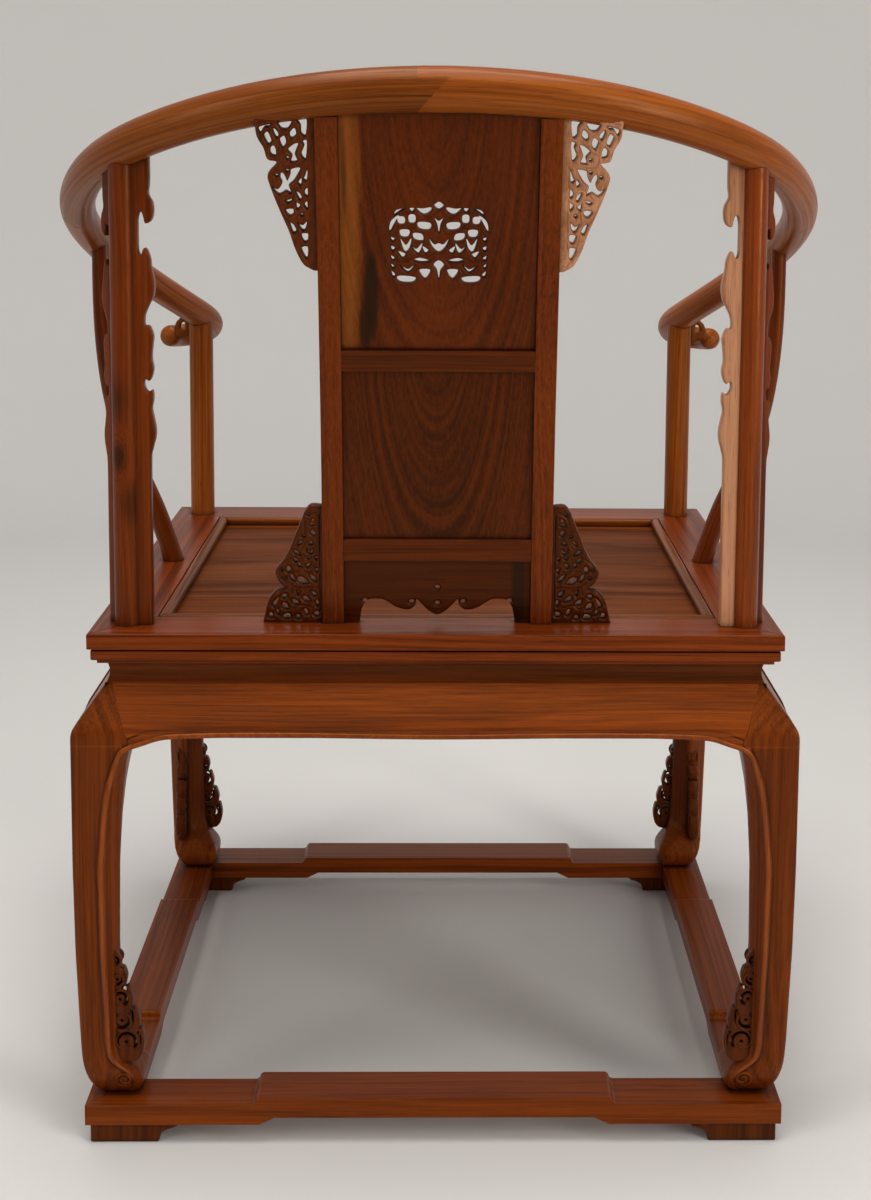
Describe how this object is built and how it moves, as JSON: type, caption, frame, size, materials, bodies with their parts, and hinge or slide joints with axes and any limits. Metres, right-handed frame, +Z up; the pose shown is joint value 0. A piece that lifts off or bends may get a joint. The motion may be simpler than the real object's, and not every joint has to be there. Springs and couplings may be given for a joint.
{
  "type": "horseshoe back armchair",
  "caption": "Wooden armchair with a bent crest rail that flows into hooked arms, a leaning panelled splat, pierced brackets, a waisted seat frame and bulging legs on a base frame with feet",
  "frame": {"origin": "on the floor, under the middle of the chair's overall width and depth", "axes": "+Z up; the sitter faces -Y and the chair's back is towards +Y; +X is to the sitter's left"},
  "size_m": [0.7942, 0.6649, 1.0295],
  "materials": {
    "crest_wood": "satin polish",
    "frame_wood": "satin polish",
    "splat_wood": "satin polish",
    "carved_wood": "satin polish",
    "seat_wood": "satin polish",
    "leg_wood": "satin polish"
  },
  "bodies": {
    "root": {"apron_back": "leg_wood", "apron_front": "leg_wood", "apron_left": "leg_wood", "apron_right": "leg_wood", "arm_left": "crest_wood", "arm_right": "crest_wood", "arm_scroll_left": "carved_wood", "arm_scroll_right": "carved_wood", "base_rail_back": "leg_wood", "base_rail_front": "leg_wood", "base_rail_left": "leg_wood", "base_rail_right": "leg_wood", "crest_rail_left": "crest_wood", "crest_rail_right": "crest_wood", "foot_front_left": "leg_wood", "foot_front_right": "leg_wood", "foot_rear_left": "leg_wood", "foot_rear_right": "leg_wood", "front_post_left": "frame_wood", "front_post_right": "frame_wood", "leg_front_left": "leg_wood", "leg_front_right": "leg_wood", "leg_leaves_front_left": "carved_wood", "leg_leaves_front_right": "carved_wood", "leg_leaves_rear_left": "carved_wood", "leg_leaves_rear_right": "carved_wood", "leg_rear_left": "leg_wood", "leg_rear_right": "leg_wood", "lower_bracket_left": "carved_wood", "lower_bracket_right": "carved_wood", "rear_post_left": "frame_wood", "rear_post_right": "frame_wood", "rear_spandrel_left": "carved_wood", "rear_spandrel_right": "carved_wood", "scarf_wedges": "crest_wood", "seat_battens": "seat_wood", "seat_edging_long": "seat_wood", "seat_edging_short": "seat_wood", "seat_panel_main_board": "seat_wood", "seat_panel_rear_board": "seat_wood", "seat_rail_back": "frame_wood", "seat_rail_front": "frame_wood", "seat_rail_left": "frame_wood", "seat_rail_right": "frame_wood", "side_post_left": "frame_wood", "side_post_right": "frame_wood", "side_spandrel_left": "carved_wood", "side_spandrel_right": "carved_wood", "splat_apron": "splat_wood", "splat_lower_rail": "frame_wood", "splat_middle_panel": "splat_wood", "splat_middle_rail": "frame_wood", "splat_stile_left": "frame_wood", "splat_stile_right": "frame_wood", "splat_upper_panel": "splat_wood", "upper_bracket_left": "carved_wood", "upper_bracket_right": "carved_wood", "waist_strips_long": "leg_wood", "waist_strips_short": "leg_wood"}
  },
  "joints": []
}
